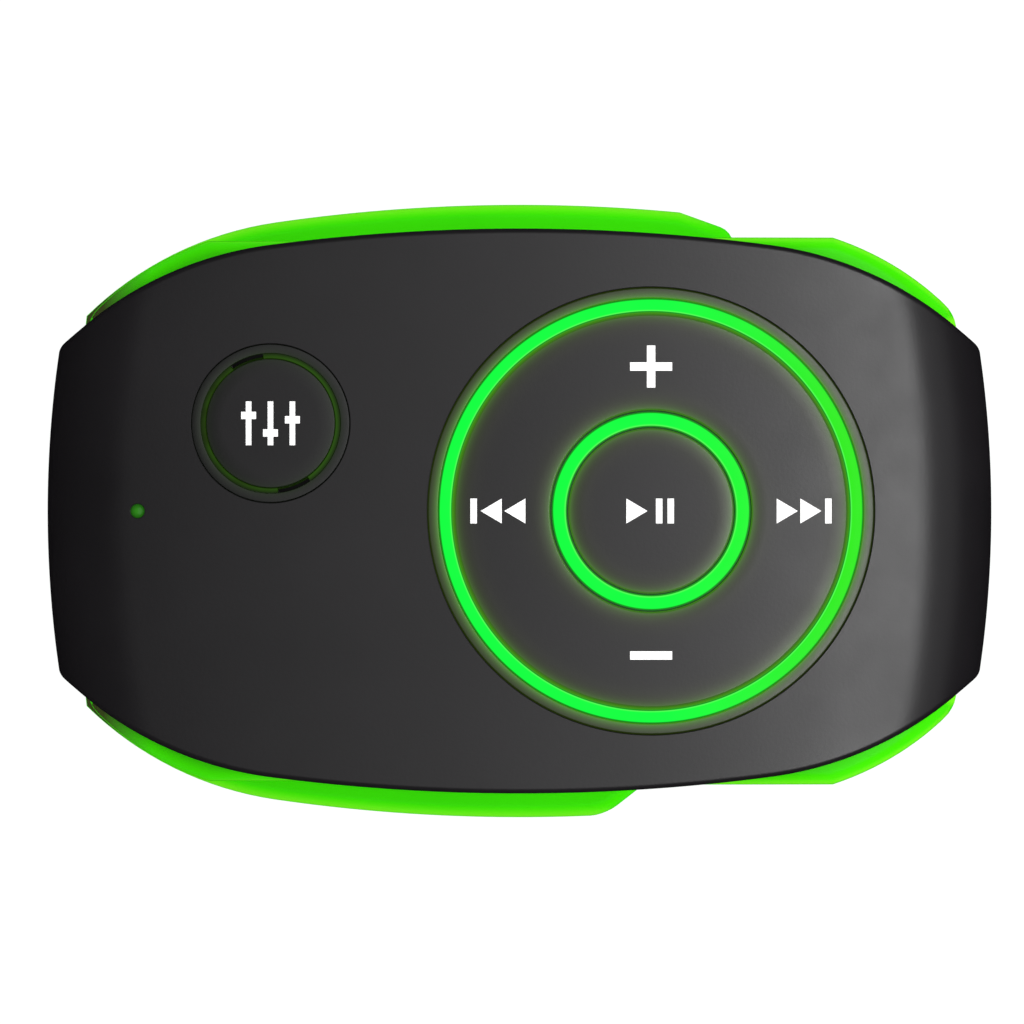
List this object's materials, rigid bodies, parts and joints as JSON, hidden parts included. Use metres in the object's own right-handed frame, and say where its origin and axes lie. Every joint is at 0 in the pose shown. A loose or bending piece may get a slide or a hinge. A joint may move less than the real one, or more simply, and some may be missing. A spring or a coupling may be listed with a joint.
{
  "type": "digital audio player",
  "caption": "Small clip-on digital audio player with a dark arched cover over a green shell, a lit round rocker control, an equaliser key and a sprung back clip.",
  "frame": {"origin": "middle of the player's outline, on the plane that the outside of its clip rests on", "axes": "+Z out of the crowned front, +X from the equaliser key's end to the control's end, +Y towards the volume-up side; the player lies on its clip"},
  "size_m": [0.054, 0.0352, 0.0178],
  "materials": {
    "cover": "soft-touch charcoal plastic",
    "shell": "glossy bright green plastic",
    "keys": "soft-touch charcoal plastic",
    "bezel": "glossy black plastic",
    "lit_ring": "translucent plastic lit green",
    "dim_ring": "translucent plastic, dimly lit green",
    "marks": "white inlay",
    "silicone": "milky silicone",
    "steel": "bright steel",
    "black_screw": "zinc-plated steel",
    "board": "green solder mask",
    "chip": "moulded black epoxy",
    "led": "clear epoxy over a small emitter",
    "contacts": "gold-plated contact metal",
    "socket_black": "moulded black plastic",
    "ceramic": "ceramic with tinned ends",
    "pouch": "laminated aluminium foil",
    "tape": "double-sided tape",
    "red_wire": "red insulation",
    "black_wire": "black insulation"
  },
  "bodies": {
    "player": {"front_cover": "cover", "rear_shell": "shell", "case_screws": "black_screw", "control_bezel": "bezel", "outer_light_ring": "lit_ring", "inner_light_ring": "lit_ring", "eq_bezel": "bezel", "eq_light_ring": "dim_ring", "status_light_pipe": "dim_ring", "main_board": "board", "board_screws": "black_screw", "rocker_domes": "steel", "play_dome": "steel", "eq_dome": "steel", "ring_leds": "led", "status_led": "led", "processor_chip": "chip", "memory_chip": "chip", "crystal": "steel", "small_parts": "ceramic", "headphone_socket": "socket_black", "headphone_terminals": "contacts", "usb_shell": "steel", "usb_tongue": "socket_black", "usb_contacts": "contacts", "power_switch": "steel", "battery": "pouch", "battery_tape": "tape", "battery_lead_red": "red_wire", "battery_lead_black": "black_wire"},
    "clip": {"clip_arm": "shell", "clip_pin": "steel", "clip_spring": "steel"},
    "keymat": {"rocker_keymat": "silicone"},
    "rocker": {"rocker_ring": "keys", "rocker_legends": "marks"},
    "play_key": {"play_button": "keys", "play_legend": "marks"},
    "eq_key": {"eq_button": "keys", "eq_legend": "marks"},
    "power_knob": {"power_slider": "socket_black"}
  },
  "joints": [
    {"name": "clip_open", "type": "hinge", "parent": "player", "child": "clip", "pos_m": [0.003, 0, 0.00345], "axis": [0, -1, 0], "range_deg": [0, 15], "stiffness_Nm_per_rad": 0.06, "springref_deg": -28.65, "deforming": ["clip_spring"]},
    {"name": "skip_tilt", "type": "hinge", "parent": "player", "child": "keymat", "pos_m": [0.0075, 0, 0.0155], "axis": [0, 1, 0], "range_deg": [-1.7, 1.7], "stiffness_Nm_per_rad": 0.15, "deforming": ["rocker_domes"]},
    {"name": "volume_tilt", "type": "hinge", "parent": "keymat", "child": "rocker", "pos_m": [0.0075, 0, 0.0155], "axis": [1, 0, 0], "range_deg": [-1.7, 1.7], "stiffness_Nm_per_rad": 0.15},
    {"name": "play_press", "type": "slide", "parent": "player", "child": "play_key", "axis": [0, 0, -1], "range_m": [0, 0.00035], "stiffness_N_per_m": 500, "springref_m": -0.0004, "deforming": ["play_dome"]},
    {"name": "eq_press", "type": "slide", "parent": "player", "child": "eq_key", "axis": [0, 0, -1], "range_m": [0, 0.00035], "stiffness_N_per_m": 500, "springref_m": -0.0004, "deforming": ["eq_dome"]},
    {"name": "power_slide", "type": "slide", "parent": "player", "child": "power_knob", "axis": [-1, 0, 0], "range_m": [0, 0.002]}
  ]
}
